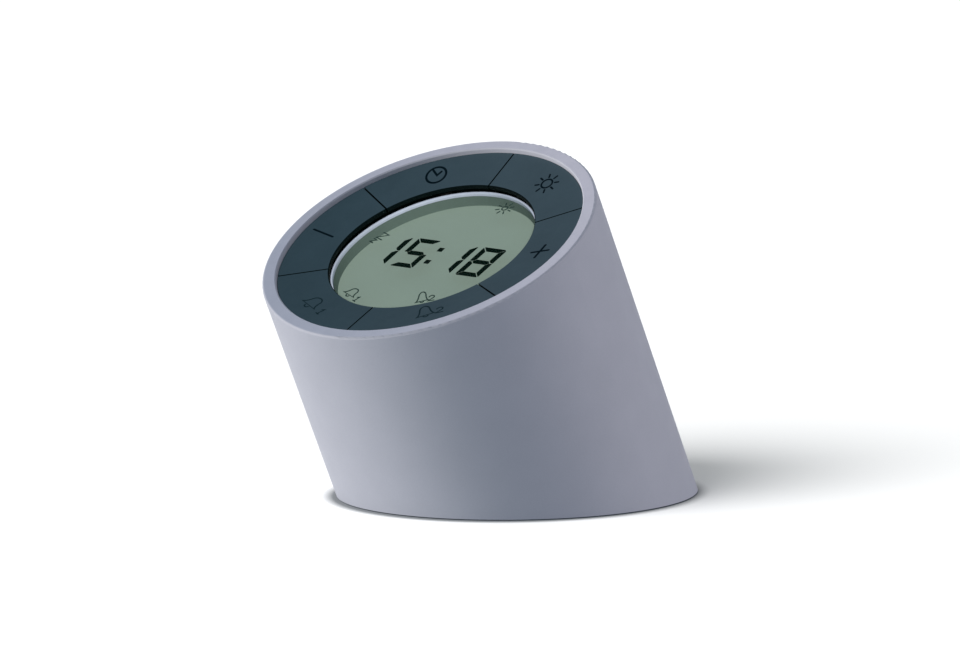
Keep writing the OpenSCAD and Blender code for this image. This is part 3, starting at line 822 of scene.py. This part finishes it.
def draw_snooze(sign):
    """The letter shape of a doze."""
    sign.line([(-1, 1), (1, 1), (-1, -1), (1, -1)])


# ---- The display's digits ----

DISPLAY_HEIGHT = -5.5
STROKE = 1.66
DIGIT_W = 5.9
DIGIT_H = 10.95
SEGMENT_GAP = 0.16
CORNER_CUT = 0.35
ROW_MIDDLE = (-0.12, -0.17)
ROW_TURN = -3.1
DIGIT_SLANT = math.tan(math.radians(3.2))


def segment_outlines():
    """The outlines of the upper, the upper right and the middle segment."""
    w, t, s, g, c = DIGIT_W / 2, DIGIT_H / 2, STROKE / 2, SEGMENT_GAP, CORNER_CUT
    top = [
        (w + s - g - c, t + s), (-w - s + g + c, t + s), (-w - s + g + c / 2, t + s - c / 2),
        (-w + s + g, t - s), (w - s - g, t - s), (w + s - g - c / 2, t + s - c / 2),
    ]
    side = [
        (w + s, g), (w + s, t + s - g - c), (w + s - c / 2, t + s - g - c / 2),
        (w - s, t - s - g), (w - s, s + g), (w, g),
    ]
    centre = [
        (w - g, 0), (w - g - s, s), (-w + g + s, s),
        (-w + g, 0), (-w + g + s, -s), (w - g - s, -s),
    ]
    return top, side, centre


def digit(sign, x, lit):
    """One seven-segment digit; lit names its dark segments, a to g."""
    top, side, centre = segment_outlines()
    shapes = {
        "a": (top, 1, 1), "b": (side, 1, 1), "c": (side, 1, -1), "d": (top, 1, -1),
        "e": (side, -1, -1), "f": (side, -1, 1), "g": (centre, 1, 1),
    }
    sign.at(*row_place(x, 0), ROW_TURN)
    for name in lit:
        outline, mirror_x, mirror_y = shapes[name]
        points = [(px * mirror_x, py * mirror_y) for px, py in outline]
        sign.prism([(px + py * DIGIT_SLANT, py) for px, py in points])


def row_place(x, y):
    """Where a point of the row of digits falls on the face."""
    px, py = turned(x, y, ROW_TURN)
    return ROW_MIDDLE[0] + px, ROW_MIDDLE[1] + py


DIGIT_PLACES = ((-15.65, "bc"), (-6.25, "afgcd"), (6.3, "bc"), (15.7, "abcdefg"))
COLON_SPREAD = 2.8
COLON_SIDE = 1.6


def add_digits(ink):
    """The time on the display: four digits and a colon."""
    sign = Sign("lcd_segments", Flat(DISPLAY_HEIGHT), "clock_body", ink)
    for x, lit in DIGIT_PLACES:
        digit(sign, x, lit)
    half = COLON_SIDE / 2
    square = [(-half, -half), (half, -half), (half, half), (-half, half)]
    for y in (-COLON_SPREAD, COLON_SPREAD):
        sign.at(*row_place(y * DIGIT_SLANT, y), ROW_TURN)
        sign.prism(square)
    sign.done().visible_shadow = False


def add_display_signs(ink):
    """The outline signs round the digits."""
    sign = Sign("lcd_signs", Flat(DISPLAY_HEIGHT), "clock_body", ink, width=0.34)
    sign.at(7.57, 22.73, 5, 0.6)
    draw_sun(sign, 1.35, 2.6, 4.2)
    sign.at(-22.53, 3.78, -25, 0.72)
    draw_snooze(sign)
    sign.at(-21.03, 6.03, -22, 1.25)
    draw_snooze(sign)
    sign.at(-14.53, -19.87, -24)
    draw_bell(sign, 2.4, 2.8)
    sign.at(-10.88, -21.37, -24, 0.75)
    draw_one(sign)
    sign.at(8.97, -19.57, 31)
    draw_bell(sign, 1.7, 4.4)
    sign.at(10.87, -17.87, 25, 0.9)
    draw_two(sign)
    sign.done().visible_shadow = False


def key_sign(key, ink, width):
    """An empty sign on a key."""
    return Sign("sign_" + key, Skin("key_" + key), key + "_button", ink, width)


def add_key_signs(ink, pale_ink):
    """The dark print on the six keys."""
    clock = key_sign("clock", ink, 0.6)
    clock.at(-18.0, 29.6, 0, 1.0, 1.22)
    draw_clock(clock)
    clock.done()

    sun = key_sign("sun", ink, 0.5)
    sun.at(17.6, 30.1, 0, 0.95, 1.18)
    draw_sun(sun)
    sun.done()

    plus = key_sign("plus", ink, 0.68)
    plus.at(34.2, 1.25)
    plus.line([(-2.4, -0.6), (2.4, 0.6)])
    plus.line([(0.1, -2.85), (-0.1, 2.85)])
    plus.done()

    minus = key_sign("minus", ink, 0.62)
    minus.at(-35.2, 0.17, -12.8)
    minus.line([(-3.6, 0), (3.6, 0)])
    minus.done()

    bell_one = key_sign("bell_one", pale_ink, 0.39)
    bell_one.at(-18.9, -30.6, -28)
    draw_bell(bell_one, 3.4, 3.8)
    bell_one.at(-13.3, -32.8, -26, 0.9)
    draw_one(bell_one)
    bell_one.done()

    bell_two = key_sign("bell_two", pale_ink, 0.39)
    bell_two.at(18.4, -29.9, 39)
    draw_bell(bell_two, 2.4, 5.2)
    bell_two.at(20.9, -27.0, 30, 1.05)
    draw_two(bell_two)
    bell_two.done()


# ---- The display's well ----

WELL_STEPS = 128
WELL_RIM_R = 27.3
WELL_FLOOR_R = 27.0
WELL_RIM_HEIGHT = -5.55
WELL_FLOOR_HEIGHT = -8.35
WELL_BACK_HEIGHT = -8.78
WELL_FLOOR_EDGE = 2  # width of the ring of faces round the floor's disc


def add_display_well(finish):
    """The LCD's visible side: a lit reflector at the bottom of a shallow well whose wall is
    painted darker as painted shade.
    """
    section = (
        (WELL_FLOOR_R - WELL_FLOOR_EDGE, WELL_FLOOR_HEIGHT),
        (WELL_FLOOR_R, WELL_FLOOR_HEIGHT),
        (WELL_RIM_R, WELL_RIM_HEIGHT),
        (WELL_RIM_R, WELL_BACK_HEIGHT),
    )
    mesh = bmesh.new()
    rings = []
    for radius, height in section:
        places = arc(0, 0, radius, 0, 360, WELL_STEPS)[:-1]
        rings.append([mesh.verts.new(face_point(x, y, height)) for x, y in places])
    for inner, outer in zip(rings, rings[1:]):
        for i in range(WELL_STEPS):
            j = (i + 1) % WELL_STEPS
            mesh.faces.new((inner[i], outer[i], outer[j], inner[j]))
    mesh.faces.new(rings[0])
    mesh.faces.new(rings[-1][::-1])
    bmesh.ops.recalc_face_normals(mesh, faces=mesh.faces)
    data = bpy.data.meshes.new("lcd_well")
    mesh.to_mesh(data)
    mesh.free()
    data.materials.append(finish)
    well = link("lcd_well", data)
    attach(well, "clock_body")
    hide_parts("lcd_cell")


# ---- Studio ----

FLOOR_SIZE = 6.0
PAPER = (0.9, 0.9, 0.9)
# Painted contact shadow on the floor, from an ambient occlusion mask
PAINTED_SHADE_REACH = 4 * MM
PAINTED_SHADE_FULL = 0.5
CONTACT_PAINTED_SHADE = (0.21, 0.22, 0.23)
AMBIENT = (0.15, 0.205, 0.26)


def add_floor():
    """A pale, matt floor with a painted contact shadow that darkens it close to the clock.

    It shows, and takes shadows, but neither lights nor shades the clock.
    """
    data = bpy.data.meshes.new("floor")
    half = FLOOR_SIZE / 2
    corners = [(-half, -half, 0), (half, -half, 0), (half, half, 0), (-half, half, 0)]
    data.from_pydata(corners, [], [(0, 1, 2, 3)])
    floor = link("floor", data)
    paper = Finish("floor_paper", PAPER, 0.9, specular=0.0)
    drift = paper.mottle(0.01, 200)
    # Painted shade: the floor's colour darkens where ambient occlusion finds the clock close by
    painted_shade_ao = paper.node("ShaderNodeAmbientOcclusion", samples=32)
    painted_shade_ao.inputs["Distance"].default_value = PAINTED_SHADE_REACH
    unshaded_share = paper.spread(painted_shade_ao.outputs["AO"], 0, 1, PAINTED_SHADE_FULL, 1.0)
    paper.paint(paper.blend(unshaded_share, CONTACT_PAINTED_SHADE, drift))
    paper.bump(paper.noise(2.0, 3.0), 0.02)
    data.materials.append(paper.material)
    floor.visible_diffuse = False
    floor.visible_shadow = False
    floor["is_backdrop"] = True
    return floor


def add_world():
    """White behind the scene, and an even, slightly blue light from all round."""
    world = bpy.data.worlds.new("studio")
    bpy.context.scene.world = world
    world.use_nodes = True
    tree = world.node_tree
    ambient = tree.nodes["Background"]
    ambient.inputs["Color"].default_value = (*AMBIENT, 1)
    white = tree.nodes.new("ShaderNodeBackground")
    white.inputs["Color"].default_value = (1, 1, 1, 1)
    path = tree.nodes.new("ShaderNodeLightPath")
    mixed = tree.nodes.new("ShaderNodeMixShader")
    tree.links.new(path.outputs["Is Camera Ray"], mixed.inputs["Fac"])
    tree.links.new(ambient.outputs["Background"], mixed.inputs[1])
    tree.links.new(white.outputs["Background"], mixed.inputs[2])
    tree.links.new(mixed.outputs["Shader"], tree.nodes["World Output"].inputs["Surface"])


def add_sun(name, towards, strength, colour, spread, lit, glossy=True):
    """A large soft lamp far off in the direction towards, for the objects in lit."""
    data = bpy.data.lights.new(name, "SUN")
    data.energy = strength * math.pi
    data.color = colour
    data.angle = math.radians(spread)
    sun = link(name, data)
    sun.rotation_euler = Vector(towards).to_track_quat("Z", "Y").to_euler()
    sun.visible_glossy = glossy
    group = bpy.data.collections.new(name + "_lights")
    for o in lit:
        group.objects.link(o)
    sun.light_linking.receiver_collection = group


SHELL_NODES = (
    "casing", "diffuser", "light_tray", "foot_front_left", "foot_front_right",
    "foot_rear_left", "foot_rear_right", "usb_shell", "usb_tongue",
)


def add_lights(floor):
    """Soft lamps for the casing, for the face and for the floor, each lighting only its own."""
    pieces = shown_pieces()
    shell = [o for o in pieces if o.name in SHELL_NODES]
    face = [o for o in pieces if o.name not in SHELL_NODES]
    left = Vector((-0.6265, -0.7764, 0.0698))
    right = Vector((0.8957, 0.3951, 0.2045))
    top = Vector((-0.64, 0.356, 0.678))
    viewer = direction(CAMERA_AZIMUTH, CAMERA_ELEVATION)
    front_left = direction(math.radians(-4), math.radians(34))
    white = (1.0, 1.0, 1.0)
    add_sun("left", left, 1.08, (1.0, 0.93, 0.88), 40, shell)
    add_sun("right", right, 0.453, (1.0, 0.863, 0.85), 40, shell)
    add_sun("top_shell", top, 0.37, white, 12, shell, glossy=False)
    add_sun("top_face", OUT, 0.33, white, 12, face, glossy=False)
    add_sun("fill_face", viewer, 0.8, white, 5, face, glossy=False)
    add_sun("floor_lamp", front_left, 1.42, white, 38, [floor])
    add_sun("floor_sky", (0, 0, 1), 0.27, (1.0, 0.86, 0.68), 150, [floor])


# ---- Making the scene ----

bpy.context.scene.view_settings.view_transform = "Standard"
add_camera()
finishes = dress_nodes()
add_display_well(finishes["lcd_green"])
add_digits(lcd_ink())
add_display_signs(lcd_fine_ink())
add_key_signs(key_ink(), key_pale_ink())
floor = add_floor()
add_world()
add_lights(floor)
